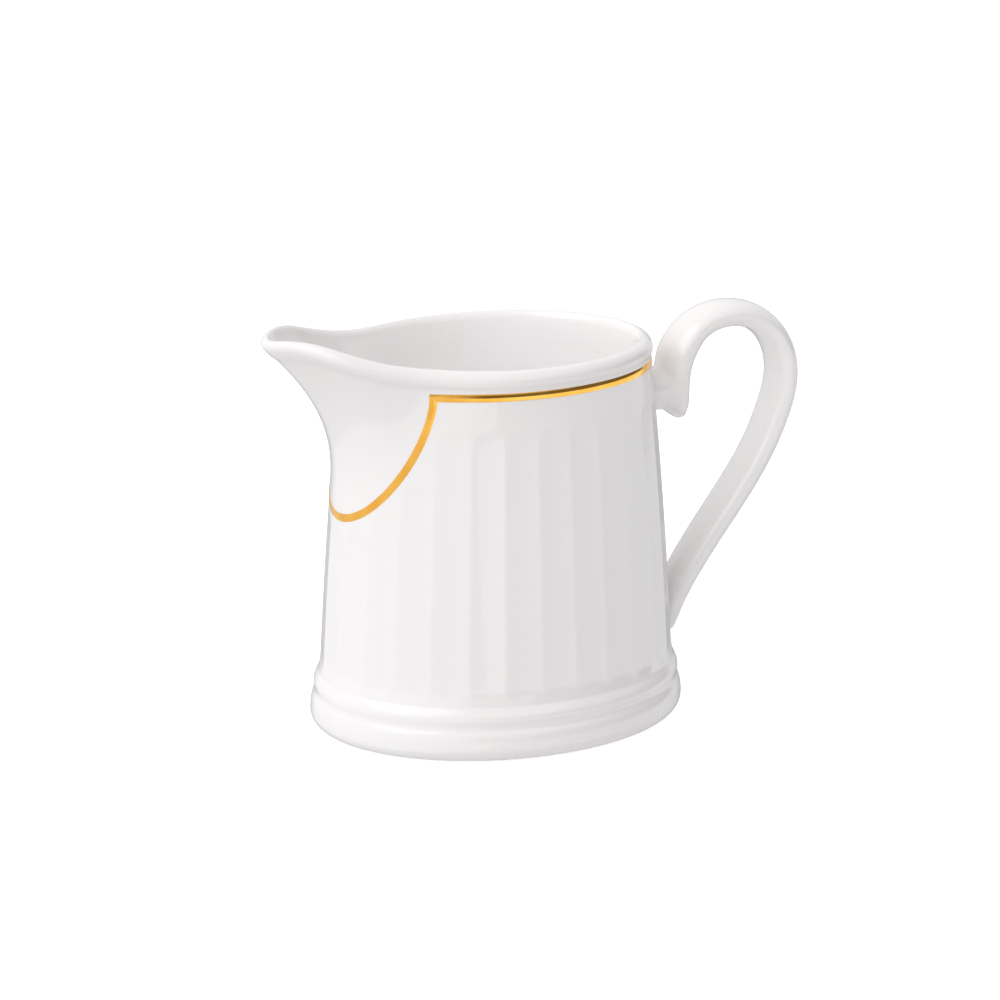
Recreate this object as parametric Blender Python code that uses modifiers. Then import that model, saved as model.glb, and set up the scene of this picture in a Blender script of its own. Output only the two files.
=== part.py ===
"""Porcelain cream jug: a slip-cast oval body with a pulled spout, a separately
cast handle stuck on with slip at two places, and two fired gold lines.

Metres, +Z up. X runs from the spout (-X) to the handle (+X), and the jug is
symmetric about the XZ plane. The origin is under the middle of the whole jug,
on the surface that it stands on.
"""

import math

import bmesh
import bpy
from mathutils import Vector

MM = 0.001
COLLECTION = "porcelain_cream_jug"

# Body plan: ovals about one upright axis, longer along X than along Y.
BODY_X = -10.1 * MM  # the body's axis, so that the whole jug is centred on the origin
OVAL_RATIO = 0.81
LEAST_SHARE = 0.8  # nearer the axis than this share of the wall, the ovals keep one shape
ROUND_STEPS = 72

# Outer wall: half-length along X at each height.
FOOT_TOP = 16.0 * MM
FOOT_TOP_REACH = 42.0 * MM
WALL_TAPER = 0.0527
WALL_BOW = 0.4  # per metre
NECK_HEIGHT = 83.2 * MM
WALL_THICKNESS = 3.45 * MM
OUTER_LEVELS = (16, 26, 36, 46, 54, 60, 65, 69, 73, 76.5, 79.5, 82)
INNER_LEVELS = (82, 78, 73, 67, 60, 52, 40, 28, 18)
FLOOR_HEIGHT = 7.6 * MM
FLOOR_FILLET = 6.0 * MM

# Foot: a flat ring to stand on, a rounded lower roll, a groove and an upper bead.
RING_INNER = 38.0 * MM
RING_OUTER = 41.4 * MM
RECESS_REACH = 36.2 * MM
RECESS_HEIGHT = 2.6 * MM
RING_EASE = (0.6 * MM, 0.8 * MM)  # the ring's inner edge, in from the flat and up
ROLL_RADIUS = 3.1 * MM
MOULDINGS = (  # distance from the axis and height: the roll's top, the groove, the bead, the cove
    (44.2, 6.2),
    (43.45, 8.0),
    (43.45, 9.6),
    (42.95, 11.4),
    (42.3, 13.4),
)

# Rolled lip.
LIP_REACH = 34.35 * MM
LIP_HEIGHT = 86.2 * MM
LIP_RADIUS = 2.5 * MM
LIP_STEPS = 7
NECK_EASE = 0.6 * MM  # the wall's last level is this far above the neck

# Spout: the front of the wall is pulled out along -X and up, more towards the rim.
SPOUT_START = 52.0 * MM
SPOUT_TOP = 87.0 * MM  # above this the lip moves as one
SPOUT_BLEND = 0.8 * MM
SPOUT_REACH = 21.2 * MM
SPOUT_POWER = 2.9
LIFT = 7.4 * MM
LIFT_START = 66.0 * MM
LIFT_POWER = 1.6
NOSE_DIP = 1.1 * MM
NOSE_ANGLE = math.radians(9)
SPOUT_ANGLE_LOW = math.radians(24)
SPOUT_ANGLE_RIM = math.radians(37)
SPOUT_FALLOFF = 2.6

# Handle: an oval strap that follows these points in the XZ plane, measured from the
# body's axis. Each point has its distance, its height and its size against the strap's.
STRAP_WIDTH = 12.0 * MM
STRAP_THICKNESS = 6.4 * MM
SECTION_STEPS = 16
STRAP_ROUTE = (
    (46.9, 66.3, 0.42),
    (46.5, 68.4, 0.6),
    (45.7, 71.6, 0.83),
    (45.1, 75.2, 1.02),
    (45.4, 78.8, 1.08),
    (47.1, 82.7, 1.06),
    (50.2, 86.4, 1.0),
    (54.7, 88.6, 0.97),
    (60.0, 89.1, 0.97),
    (65.4, 87.7, 0.97),
    (70.0, 84.1, 0.97),
    (72.9, 79.2, 0.97),
    (73.9, 74.0, 0.97),
    (73.4, 69.2, 0.97),
    (71.7, 63.8, 0.97),
    (69.3, 58.2, 0.96),
    (66.2, 52.6, 0.96),
    (62.5, 47.1, 0.96),
    (58.5, 41.7, 0.96),
    (54.5, 36.4, 0.95),
    (50.7, 31.1, 0.94),
    (47.4, 26.0, 0.92),
    (45.1, 21.6, 0.88),
    (44.0, 17.8, 0.78),
    (43.5, 14.4, 0.62),
)
STUB_HEIGHT = 72.8 * MM
STUB_TALL = 10.8 * MM
STUB_WIDE = 10.0 * MM
STUB_END = 45.4 * MM
STUB_STEPS = 24

# Slip joints: a thin layer between the handle and the wall.
CLEARANCE = 0.3 * MM
SLIP_THICKNESS = 0.6 * MM
BLOCK_LEVELS = (0, 8, 16, 26, 36, 46, 56, 66, 76, 83)
END_BOX_SIZE = 40.0 * MM  # a box round the strap's lower end only
END_BOX_AT = (BODY_X + 45.0 * MM, 0.0, 21.0 * MM)

# Gold lines.
GOLD_WIDTH = 1.9 * MM
GOLD_THICKNESS = 0.25 * MM
BIB_ANGLE = math.radians(48)  # from the spout's middle to the corner of the gold lines
BIB_LOW = 52.0 * MM
BIB_POWER = 1.38
BIB_STEPS = 56
RIM_GOLD_START = BIB_ANGLE + math.radians(2.2)
RIM_GOLD_STEPS = 54

WELD = 0.01 * MM
SHARP = math.radians(40)
SMALL_TURN = 0.01  # steps along the wall, to find the way out of it
SMALL_RISE = 0.2 * MM

PORCELAIN = (0.86, 0.85, 0.84, 1.0)
SLIP = (0.82, 0.81, 0.8, 1.0)
GOLD = (0.83, 0.56, 0.18, 1.0)


def clear_scene():
    for item in list(bpy.data.objects):
        bpy.data.objects.remove(item, do_unlink=True)


def make_collection(name):
    collection = bpy.data.collections.new(name)
    bpy.context.scene.collection.children.link(collection)
    return collection


def make_material(name, colour, roughness, metallic=0.0):
    material = bpy.data.materials.new(name)
    material.use_nodes = True
    shader = material.node_tree.nodes["Principled BSDF"]
    shader.inputs["Base Color"].default_value = colour
    shader.inputs["Roughness"].default_value = roughness
    shader.inputs["Metallic"].default_value = metallic
    return material


def glazed_porcelain():
    return make_material("glazed_porcelain", PORCELAIN, 0.12)


def joining_slip():
    return make_material("joining_slip", SLIP, 0.3)


def fired_gold():
    return make_material("fired_gold", GOLD, 0.18, 1.0)


def wall_reach(z):
    """Half-length of the outer wall along X at this height, above the foot."""
    rise = max(z - FOOT_TOP, 0.0)
    return FOOT_TOP_REACH - WALL_TAPER * rise - WALL_BOW * rise * rise


def flatness(reach, z):
    """Half-width over half-length, so that the wall is as thick at the sides as at the ends."""
    share = max(reach / wall_reach(z), LEAST_SHARE)
    return 1.0 - (1.0 - OVAL_RATIO) / share


def share_of(z, start):
    """How far a height is on the way from the start to the spout's top, levelling off there."""
    below = SPOUT_BLEND * math.log1p(math.exp((SPOUT_TOP - z) / SPOUT_BLEND))
    return max((SPOUT_TOP - below - start) / (SPOUT_TOP - start), 0.0)


def body_point(reach, angle, z):
    """A point of the body. The angle is 0 at the spout and pi at the handle."""
    turn = abs(math.remainder(angle, 2 * math.pi))
    rise = share_of(z, SPOUT_START)
    spread = SPOUT_ANGLE_LOW + (SPOUT_ANGLE_RIM - SPOUT_ANGLE_LOW) * rise
    pull = math.exp(-((turn / spread) ** SPOUT_FALLOFF))
    nose = math.exp(-((turn / NOSE_ANGLE) ** 2))
    lift = (LIFT * pull - NOSE_DIP * nose) * share_of(z, LIFT_START) ** LIFT_POWER
    x = -reach * math.cos(angle) - SPOUT_REACH * rise**SPOUT_POWER * pull
    y = -reach * flatness(reach, z) * math.sin(angle)
    return Vector((BODY_X + x, y, z + lift))


def arc(centre, radius, first, last, steps):
    """Points of an arc, both ends included, with angles in degrees from +X."""
    points = []
    for i in range(steps + 1):
        turn = math.radians(first + (last - first) * i / steps)
        points.append((centre[0] + radius * math.cos(turn), centre[1] + radius * math.sin(turn)))
    return points


def foot_profile():
    """From under the floor, round the standing ring and up the mouldings."""
    points = [(0.0, RECESS_HEIGHT), (RECESS_REACH, RECESS_HEIGHT)]
    points += [(RING_INNER - RING_EASE[0], RING_EASE[1]), (RING_INNER, 0.0)]
    points += arc((RING_OUTER, ROLL_RADIUS), ROLL_RADIUS, -90, 0, 4)
    points += [(reach * MM, height * MM) for reach, height in MOULDINGS]
    return points


def wall_profile():
    """Up the outer wall, over the lip, down the inner wall and across the floor."""
    points = [(wall_reach(z * MM), z * MM) for z in OUTER_LEVELS]
    points.append((wall_reach(NECK_HEIGHT), NECK_HEIGHT + NECK_EASE))
    points += arc((LIP_REACH, LIP_HEIGHT), LIP_RADIUS, -10, 190, LIP_STEPS)
    points += [(wall_reach(z * MM) - WALL_THICKNESS, z * MM) for z in INNER_LEVELS]
    corner = wall_reach(FOOT_TOP) - WALL_THICKNESS - FLOOR_FILLET
    points += arc((corner, FLOOR_HEIGHT + FLOOR_FILLET), FLOOR_FILLET, 0, -90, 4)
    points.append((0.0, FLOOR_HEIGHT))
    return points


def spin_profile(profile):
    """A mesh of the profile turned about the body's axis, still round and with no spout."""
    mesh = bmesh.new()
    verts = [mesh.verts.new((-reach, 0.0, z)) for reach, z in profile]
    edges = [mesh.edges.new(pair) for pair in zip(verts, verts[1:])]
    bmesh.ops.spin(
        mesh,
        geom=verts + edges,
        cent=(0, 0, 0),
        axis=(0, 0, 1),
        angle=2 * math.pi,
        steps=ROUND_STEPS,
        use_merge=True,
    )
    bmesh.ops.remove_doubles(mesh, verts=mesh.verts, dist=WELD)
    return mesh


def face_outwards(mesh):
    mesh.normal_update()
    bmesh.ops.recalc_face_normals(mesh, faces=mesh.faces)


def shape_body(mesh):
    """Moves each turned point to its place on the oval body with its spout."""
    for vert in mesh.verts:
        reach = math.hypot(vert.co.x, vert.co.y)
        angle = math.atan2(-vert.co.y, -vert.co.x) if reach > MM else 0.0
        vert.co = body_point(reach, angle, vert.co.z)
    face_outwards(mesh)


def object_from(mesh, name, material, collection):
    data = bpy.data.meshes.new(name)
    mesh.to_mesh(data)
    mesh.free()
    data.materials.append(material)
    data.shade_smooth()
    data.set_sharp_from_angle(angle=SHARP)
    item = bpy.data.objects.new(name, data)
    collection.objects.link(item)
    return item


def make_helper(item):
    """Marks an object as a cutter or guide, which a render leaves out."""
    item.hide_render = True
    item.display_type = "WIRE"
    return item


def make_body(material, collection):
    mesh = spin_profile(foot_profile() + wall_profile())
    shape_body(mesh)
    return object_from(mesh, "jug_body", material, collection)


def make_wall_block(name, gap, collection):
    """A solid block of the body's outer shape, grown by a gap: the cutter for the joints."""
    sides = [(wall_reach(z * MM) + gap, z * MM) for z in BLOCK_LEVELS]
    mesh = spin_profile([(0.0, 0.0)] + sides + [(0.0, sides[-1][1])])
    for vert in mesh.verts:
        reach = math.hypot(vert.co.x, vert.co.y)
        grown = wall_reach(vert.co.z) + gap
        side = (OVAL_RATIO * wall_reach(vert.co.z) + gap) / grown
        vert.co = Vector((BODY_X + vert.co.x, vert.co.y * side if reach > MM else 0.0, vert.co.z))
    face_outwards(mesh)
    return make_helper(object_from(mesh, name, joining_slip(), collection))


def oval_section(name, thickness, width, collection):
    """A closed oval curve, the section of the strap. Its first axis lies across the strap."""
    curve = bpy.data.curves.new(name, "CURVE")
    curve.dimensions = "2D"
    spline = curve.splines.new("POLY")
    spline.points.add(SECTION_STEPS - 1)
    for i, point in enumerate(spline.points):
        turn = 2 * math.pi * i / SECTION_STEPS
        point.co = (0.5 * width * math.cos(turn), 0.5 * thickness * math.sin(turn), 0.0, 1.0)
    spline.use_cyclic_u = True
    section = bpy.data.objects.new(name, curve)
    collection.objects.link(section)
    return make_helper(section)


def solid_from_curve(curve_object):
    """The curve's solid as a closed bmesh, with its caps welded. The curve is removed."""
    bpy.context.view_layer.update()
    graph = bpy.context.evaluated_depsgraph_get()
    data = bpy.data.meshes.new_from_object(curve_object.evaluated_get(graph))
    mesh = bmesh.new()
    mesh.from_mesh(data)
    bmesh.ops.remove_doubles(mesh, verts=mesh.verts, dist=WELD)
    face_outwards(mesh)
    bpy.data.meshes.remove(data)
    bpy.data.objects.remove(curve_object, do_unlink=True)
    return mesh


def make_strap(name, material, collection, helpers):
    """The strap alone, from the tip of its spur round the loop to its lower end."""
    curve = bpy.data.curves.new(name, "CURVE")
    curve.dimensions = "3D"
    curve.twist_mode = "MINIMUM"
    curve.bevel_mode = "OBJECT"
    curve.bevel_object = oval_section("strap_section", STRAP_THICKNESS, STRAP_WIDTH, helpers)
    curve.use_fill_caps = True
    curve.resolution_u = 3
    spline = curve.splines.new("BEZIER")
    spline.bezier_points.add(len(STRAP_ROUTE) - 1)
    for point, (reach, height, size) in zip(spline.bezier_points, STRAP_ROUTE):
        point.co = (BODY_X + reach * MM, 0.0, height * MM)
        point.handle_left_type = "AUTO"
        point.handle_right_type = "AUTO"
        point.radius = size
    strap = bpy.data.objects.new(name + "_route", curve)
    collection.objects.link(strap)
    return object_from(solid_from_curve(strap), name, material, collection)


def make_stub(name, material, helpers):
    """A level oval bar from inside the wall to the strap: the handle's upper root."""
    mesh = bmesh.new()
    bmesh.ops.create_cone(
        mesh,
        cap_ends=True,
        segments=STUB_STEPS,
        radius1=0.5,
        radius2=0.5,
        depth=1.0,
    )
    inside = wall_reach(STUB_HEIGHT) - 2 * WALL_THICKNESS
    for vert in mesh.verts:
        along = inside + (STUB_END - inside) * (vert.co.z + 0.5)
        across = STUB_WIDE * vert.co.y
        up = STUB_HEIGHT + STUB_TALL * vert.co.x
        vert.co = Vector((BODY_X + along, across, up))
    face_outwards(mesh)
    return make_helper(object_from(mesh, name, material, helpers))


def add_boolean(item, operation, other):
    modifier = item.modifiers.new(operation.lower() + "_" + other.name, "BOOLEAN")
    modifier.operation = operation
    modifier.solver = "EXACT"
    modifier.object = other


def copy_of(item, name, material, collection):
    """A second object with this one's shape and a material of its own."""
    data = item.data.copy()
    data.materials[0] = material
    copy = bpy.data.objects.new(name, data)
    collection.objects.link(copy)
    return copy


def make_end_box(helpers):
    """A box round the strap's lower end, to keep that end's slip apart from the rest."""
    mesh = bmesh.new()
    bmesh.ops.create_cube(mesh, size=END_BOX_SIZE)
    bmesh.ops.translate(mesh, verts=mesh.verts, vec=END_BOX_AT)
    return make_helper(object_from(mesh, "lower_end_box", joining_slip(), helpers))


def make_handle_and_joints(material, collection, helpers):
    """The handle, and the layer of slip between each of its two ends and the wall."""
    handle = make_strap("handle", material, collection, helpers)
    stub = make_stub("handle_stub", material, helpers)
    upper = copy_of(stub, "handle_upper_slip_joint", joining_slip(), collection)
    lower = copy_of(handle, "handle_lower_slip_joint", joining_slip(), collection)
    keep_clear = make_wall_block("clear_of_slip", 2 * CLEARANCE + SLIP_THICKNESS, helpers)
    slip_outer = make_wall_block("slip_outer_face", CLEARANCE + SLIP_THICKNESS, helpers)
    slip_inner = make_wall_block("slip_inner_face", CLEARANCE, helpers)
    add_boolean(lower, "INTERSECT", make_end_box(helpers))
    for joint in (upper, lower):
        add_boolean(joint, "INTERSECT", slip_outer)
        add_boolean(joint, "DIFFERENCE", slip_inner)
    add_boolean(handle, "UNION", stub)
    add_boolean(handle, "DIFFERENCE", keep_clear)


def outer_point(angle, z, gap):
    """A point this far outside the body's outer wall."""
    here = body_point(wall_reach(z), angle, z)
    along = body_point(wall_reach(z), angle + SMALL_TURN, z) - here
    up = body_point(wall_reach(z + SMALL_RISE), angle, z + SMALL_RISE) - here
    return here + gap * along.cross(up).normalized()


def make_band(name, rows, material, collection):
    """A thin closed band over rows of points: an open strip given its thickness by Solidify."""
    mesh = bmesh.new()
    grid = [[mesh.verts.new(point) for point in row] for row in rows]
    for low, high in zip(grid, grid[1:]):
        for i in range(len(low) - 1):
            mesh.faces.new((low[i], low[i + 1], high[i + 1], high[i]))
    band = object_from(mesh, name, material, collection)
    shell = band.modifiers.new("gold_thickness", "SOLIDIFY")
    shell.thickness = GOLD_THICKNESS
    shell.offset = 1.0
    return band


def bib_point(step):
    """Angle and height of the spout's gold line: a deep curve between its two corners."""
    swing = math.pi * (step / BIB_STEPS - 0.5)
    depth = (NECK_HEIGHT - BIB_LOW) * max(math.cos(swing), 0.0) ** BIB_POWER
    return BIB_ANGLE * math.sin(swing), NECK_HEIGHT - depth


def make_rim_gold(material, collection):
    """The level line round the neck, from one corner past the handle to the other."""
    sweep = 2 * math.pi - 2 * RIM_GOLD_START
    turns = [RIM_GOLD_START + sweep * i / RIM_GOLD_STEPS for i in range(RIM_GOLD_STEPS + 1)]
    rows = []
    for side in (-0.5, 0.5):
        z = NECK_HEIGHT + side * GOLD_WIDTH
        rows.append([outer_point(turn, z, CLEARANCE) for turn in turns])
    return make_band("rim_gold_line", rows, material, collection)


def make_spout_gold(material, collection):
    """The line that hangs from the two corners and passes under the spout."""
    middle = [bib_point(i) for i in range(BIB_STEPS + 1)]
    rows = [[], []]
    for i, (angle, z) in enumerate(middle):
        before = outer_point(*middle[max(i - 1, 0)], CLEARANCE)
        after = outer_point(*middle[min(i + 1, BIB_STEPS)], CLEARANCE)
        here = outer_point(angle, z, CLEARANCE)
        normal = (here - outer_point(angle, z, 0.0)).normalized()
        across = normal.cross((after - before).normalized())
        for row, side in zip(rows, (-0.5, 0.5)):
            row.append(here + side * GOLD_WIDTH * across)
    return make_band("spout_gold_line", rows, material, collection)


def main():
    clear_scene()
    parts = make_collection(COLLECTION)
    helpers = make_collection("cutters")
    make_body(glazed_porcelain(), parts)
    make_handle_and_joints(glazed_porcelain(), parts, helpers)
    make_rim_gold(fired_gold(), parts)
    make_spout_gold(fired_gold(), parts)


main()
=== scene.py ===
"""Porcelain cream jug: a fluted oval body with a pulled spout, a strap handle stuck
on with slip, and fired gold lines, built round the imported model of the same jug.

Metres, +Z up, spout towards -X and handle towards +X.
"""

import math
from bisect import bisect_right

import bmesh
import bpy
from bpy.props import FloatProperty, FloatVectorProperty, IntProperty, PointerProperty
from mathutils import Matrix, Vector


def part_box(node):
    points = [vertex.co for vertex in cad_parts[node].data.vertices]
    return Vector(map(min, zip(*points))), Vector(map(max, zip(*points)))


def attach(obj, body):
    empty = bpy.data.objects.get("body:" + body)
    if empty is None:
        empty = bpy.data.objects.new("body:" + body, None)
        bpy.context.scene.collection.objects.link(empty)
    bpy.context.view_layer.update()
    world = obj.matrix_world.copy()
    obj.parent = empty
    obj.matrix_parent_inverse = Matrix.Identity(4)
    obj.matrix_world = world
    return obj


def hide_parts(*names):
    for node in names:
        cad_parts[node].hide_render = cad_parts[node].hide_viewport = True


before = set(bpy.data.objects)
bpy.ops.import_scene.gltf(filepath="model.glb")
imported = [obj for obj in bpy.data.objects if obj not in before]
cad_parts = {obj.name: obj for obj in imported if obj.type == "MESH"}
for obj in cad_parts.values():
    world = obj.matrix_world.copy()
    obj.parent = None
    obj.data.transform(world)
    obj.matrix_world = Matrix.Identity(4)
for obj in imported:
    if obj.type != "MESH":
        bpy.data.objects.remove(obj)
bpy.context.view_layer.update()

bl_info = {
    "name": "Porcelain Cream Jug",
    "version": (1, 0, 0),
    "blender": (4, 5, 0),
    "location": "View3D > Sidebar > Cream Jug",
    "description": "Builds a fluted porcelain cream jug with a strap handle and fired gold lines",
    "category": "Object",
}

BODY_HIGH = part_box("jug_body")[1]
FOOT_REACH = 0.0445
MM = 0.001
FULL_TURN = 2 * math.pi
SIDE_SHARE = 0.25  # share of the way round from the spout's middle to the jug's side

# Outlines, as distance from the body's axis and height, in millimetres.
UNDERSIDE = ((35.0, 2.6), (36.2, 2.45), (37.0, 1.7), (37.6, 0.6), (38.1, 0.0), (41.3, 0.0))
FOOT_MOULDINGS = (  # the roll's side, the groove, the bead and the cove up to the wall
    (44.5, 3.1), (44.46, 4.4), (44.3, 5.6), (44.0, 6.7), (43.68, 7.5), (43.52, 8.2),
    (43.56, 8.9), (43.64, 9.7), (43.5, 10.6), (43.05, 11.7), (42.6, 12.5), (42.38, 13.4),
    (42.1, 15.0), (41.97, 16.6),
)
UNDER_LIP = ((36.6, 83.6), (36.52, 84.3), (36.62, 84.9), (36.84, 85.4))

# The spout's outline at the rim: share of the full forward pull and lift in millimetres,
# at every fifth degree round from the spout's middle.
SPOUT_STEP = 5.0
SPOUT_OUTLINE = (
    (1.0, 6.0), (0.985, 6.25), (0.93, 6.6), (0.85, 6.68), (0.775, 6.4), (0.71, 5.75),
    (0.63, 4.7), (0.505, 3.3), (0.335, 1.85), (0.17, 0.98), (0.07, 0.58), (0.025, 0.38),
    (0.006, 0.27), (0.0, 0.2), (0.0, 0.14), (0.0, 0.08), (0.0, 0.04), (0.0, 0.01), (0.0, 0.0),
)

# The strap's middle line: distance from the body's axis, height, and size against the
# strap's own, from the tip of the spur round the loop to the lower end.
STRAP_ROUTE = (
    (46.75, 66.5, 0.54), (46.0, 67.7, 0.78), (45.5, 69.6, 0.9), (45.3, 72.2, 0.96),
    (45.1, 75.2, 1.02), (45.4, 78.8, 1.08), (47.1, 82.7, 1.06), (50.2, 86.4, 1.0),
    (54.7, 88.6, 0.97), (60.0, 89.1, 0.97), (65.4, 87.7, 0.97), (70.0, 84.1, 0.97),
    (72.9, 79.2, 0.97), (73.9, 74.0, 0.97), (73.4, 69.2, 0.97), (71.7, 63.8, 0.97),
    (69.3, 58.2, 0.96), (66.2, 52.6, 0.96), (62.5, 47.1, 0.96), (58.5, 41.7, 0.96),
    (54.5, 36.4, 0.95), (50.7, 31.1, 0.94), (47.4, 26.0, 0.92), (45.1, 21.6, 0.88),
    (44.0, 17.8, 0.78), (43.5, 14.9, 0.62),
)


def length(name, description, default):
    """A size in metres."""
    return FloatProperty(
        name=name, description=description, default=default, precision=5, subtype="DISTANCE", unit="LENGTH"
    )


def angle(name, description, degrees):
    return FloatProperty(
        name=name, description=description, default=math.radians(degrees), subtype="ANGLE", unit="ROTATION"
    )


def number(name, description, default):
    return FloatProperty(name=name, description=description, default=default, precision=4)


def count(name, description, default):
    return IntProperty(name=name, description=description, default=default, min=1)


def colour(name, description, default):
    return FloatVectorProperty(
        name=name, description=description, default=default, subtype="COLOR", size=3, min=0.0, max=1.0
    )


class JugBodySizes(bpy.types.PropertyGroup):
    """Sizes of the cast body."""

    axis_x: length("Axis", "Where the body's upright axis stands along X", BODY_HIGH.x - FOOT_REACH)
    oval_ratio: number("Oval", "Half-width of the plan over its half-length", 0.81)
    least_share: number("Inner oval", "Share of the wall's reach within which ovals keep one shape", 0.8)
    foot_top: length("Foot top", "Height where the wall begins", 16.0 * MM)
    foot_top_reach: length("Foot top reach", "Half-length of the wall where it begins", 42.0 * MM)
    wall_taper: number("Taper", "How fast the wall leans in", 0.0527)
    wall_bow: number("Bow", "How much faster it leans in for each metre of height", 0.4)
    wall_thickness: length("Wall", "Thickness of the wall", 3.45 * MM)
    neck_height: length("Neck", "Height of the level gold line", 83.2 * MM)
    floor_height: length("Floor", "Height of the floor inside", 7.6 * MM)
    floor_fillet: length("Floor fillet", "Radius between the floor and the wall inside", 6.0 * MM)
    roll_radius: length("Foot roll", "Radius of the rounded edge that meets the table", 3.1 * MM)
    recess_height: length("Recess", "Height of the recess under the foot", 2.6 * MM)
    lip_reach: length("Lip reach", "From the axis to the middle of the rolled lip", 34.4 * MM)
    lip_height: length("Lip height", "Height of the middle of the rolled lip", 86.2 * MM)
    lip_radius: length("Lip radius", "Radius of the rolled lip outside", 2.5 * MM)
    lip_inner_share: number("Lip inside", "Thickness of the lip inwards of its crest over that radius", 0.5)
    round_steps: count("Steps round a flute", "Faces across each flute", 16)


class SpoutSizes(bpy.types.PropertyGroup):
    """How the front of the wall is pulled out and up into a spout."""

    start: length("Start", "Height where the wall starts to lean forward", 52.0 * MM)
    top: length("Top", "Height above which the lip moves as one", 87.0 * MM)
    blend: length("Blend", "How softly the pull levels off there", 0.8 * MM)
    reach: length("Reach", "How far the tip is pulled forward", 21.0 * MM)
    power: number("Curve", "How late the pull comes", 2.9)
    lift: number("Lift", "How far the rim is pulled up, as a share of its usual lift", 1.0)
    lift_start: length("Lift start", "Height where the lift begins", 66.0 * MM)
    lift_power: number("Lift curve", "How late the lift comes", 1.6)
    angle_low: angle("Width below", "Half-width of the pull where it starts", 24)
    angle_rim: angle("Width at rim", "Half-width of the pull at the rim", 37)
    thinning: number("Thinning", "How much thinner the wall is at the tip", 0.22)
    thin_angle: angle("Thin width", "Half-width of the thinner wall", 30)
    thin_start: length("Thin start", "Height where the wall starts to thin", 60.0 * MM)


class FluteSizes(bpy.types.PropertyGroup):
    """The shallow upright flutes of the outer wall, with arched ends."""

    number: count("Flutes", "Flutes round the body, one of them in the middle of the spout", 28)
    depth: length("Depth", "Depth of a flute", 0.27 * MM)
    arch: length("Arch", "Rise of a flute's arched end", 3.8 * MM)
    low: length("Low", "Height where the lower arch starts", 17.0 * MM)
    high: length("High", "Height where the upper arch starts", 72.2 * MM)
    hollow: number("Hollow", "Share of a flute that is hollow, and not ridge", 0.94)
    crowding: number("Crowding", "How much closer the faces are at a ridge", 0.7)
    bib_margin: length("Bib margin", "Least room between a flute and the spout's gold line", 2.4 * MM)


class HandleSizes(bpy.types.PropertyGroup):
    """The strap handle and the slip that joins it to the wall."""

    width: length("Width", "Width of the strap", 12.1 * MM)
    thickness: length("Thickness", "Thickness of the strap", 6.42 * MM)
    squareness: number("Squareness", "2 gives an oval section, and more gives a squarer one", 2.25)
    root_height: length("Root height", "Height of the middle of the upper root", 72.8 * MM)
    root_tall: length("Root tall", "Height of the upper root", 11.0 * MM)
    root_wide: length("Root wide", "Width of the upper root", 10.4 * MM)
    root_waist: number("Root waist", "Size of the root halfway to the wall", 0.93)
    root_end: length("Root end", "How far from the axis the root runs into the strap", 45.4 * MM)
    buried: length("Buried", "How deep the root runs into the wall", 1.6 * MM)
    grain: length("Grain", "Size of the faces that join strap and root", 0.36 * MM)
    softening: count("Softening", "Rounds of smoothing over the whole handle", 14)
    root_softening: count("Root softening", "More rounds where strap and root meet", 30)
    slip_fillet: length("Slip fillet", "Size of the fillet of slip round each joint", 1.5 * MM)
    tail_height: length("Tail height", "Height of the middle of the lower joint", 17.0 * MM)


class GoldSizes(bpy.types.PropertyGroup):
    """The fired gold lines."""

    width: length("Width", "Width of a line", 1.78 * MM)
    crown: length("Crown", "How much a line stands up in its middle", 0.11 * MM)
    edge: length("Edge", "How much a line stands up at its edges", 0.012 * MM)
    root: length("Root", "How deep a line's underside is set into the glaze", 0.06 * MM)
    bib_angle: angle("Bib angle", "From the middle of the spout to the corner of the lines", 47.9)
    bib_low: length("Bib low", "Lowest height of the line under the spout", 52.0 * MM)
    bib_power: number("Bib curve", "Roundness of the line under the spout", 1.38)
    steps: count("Steps", "Faces along each line", 240)


class JugColours(bpy.types.PropertyGroup):
    """Colours of the finishes."""

    porcelain: colour("Porcelain", "White of the glazed body", (0.88, 0.857, 0.862))
    porcelain_warm: colour("Porcelain, warm", "Its faint warmer clouds", (0.87, 0.845, 0.842))
    glaze_pool: colour("Glaze pool", "The cooler tint where glaze lies thicker", (0.83, 0.82, 0.83))
    biscuit: colour("Biscuit", "The bare clay of the foot ring", (0.74, 0.7, 0.64))
    biscuit_rubbed: colour("Biscuit, rubbed", "Rub marks on that clay", (0.6, 0.57, 0.53))
    gold: colour("Gold", "Burnished gold", (1.0, 0.565, 0.115))
    gold_deep: colour("Gold, deep", "Where the gold lies thicker", (0.94, 0.46, 0.07))
    card: colour("Card", "White of the floor", (0.94, 0.94, 0.94))
    card_pale: colour("Card, paler", "Its faint paler clouds", (0.96, 0.96, 0.96))


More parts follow.
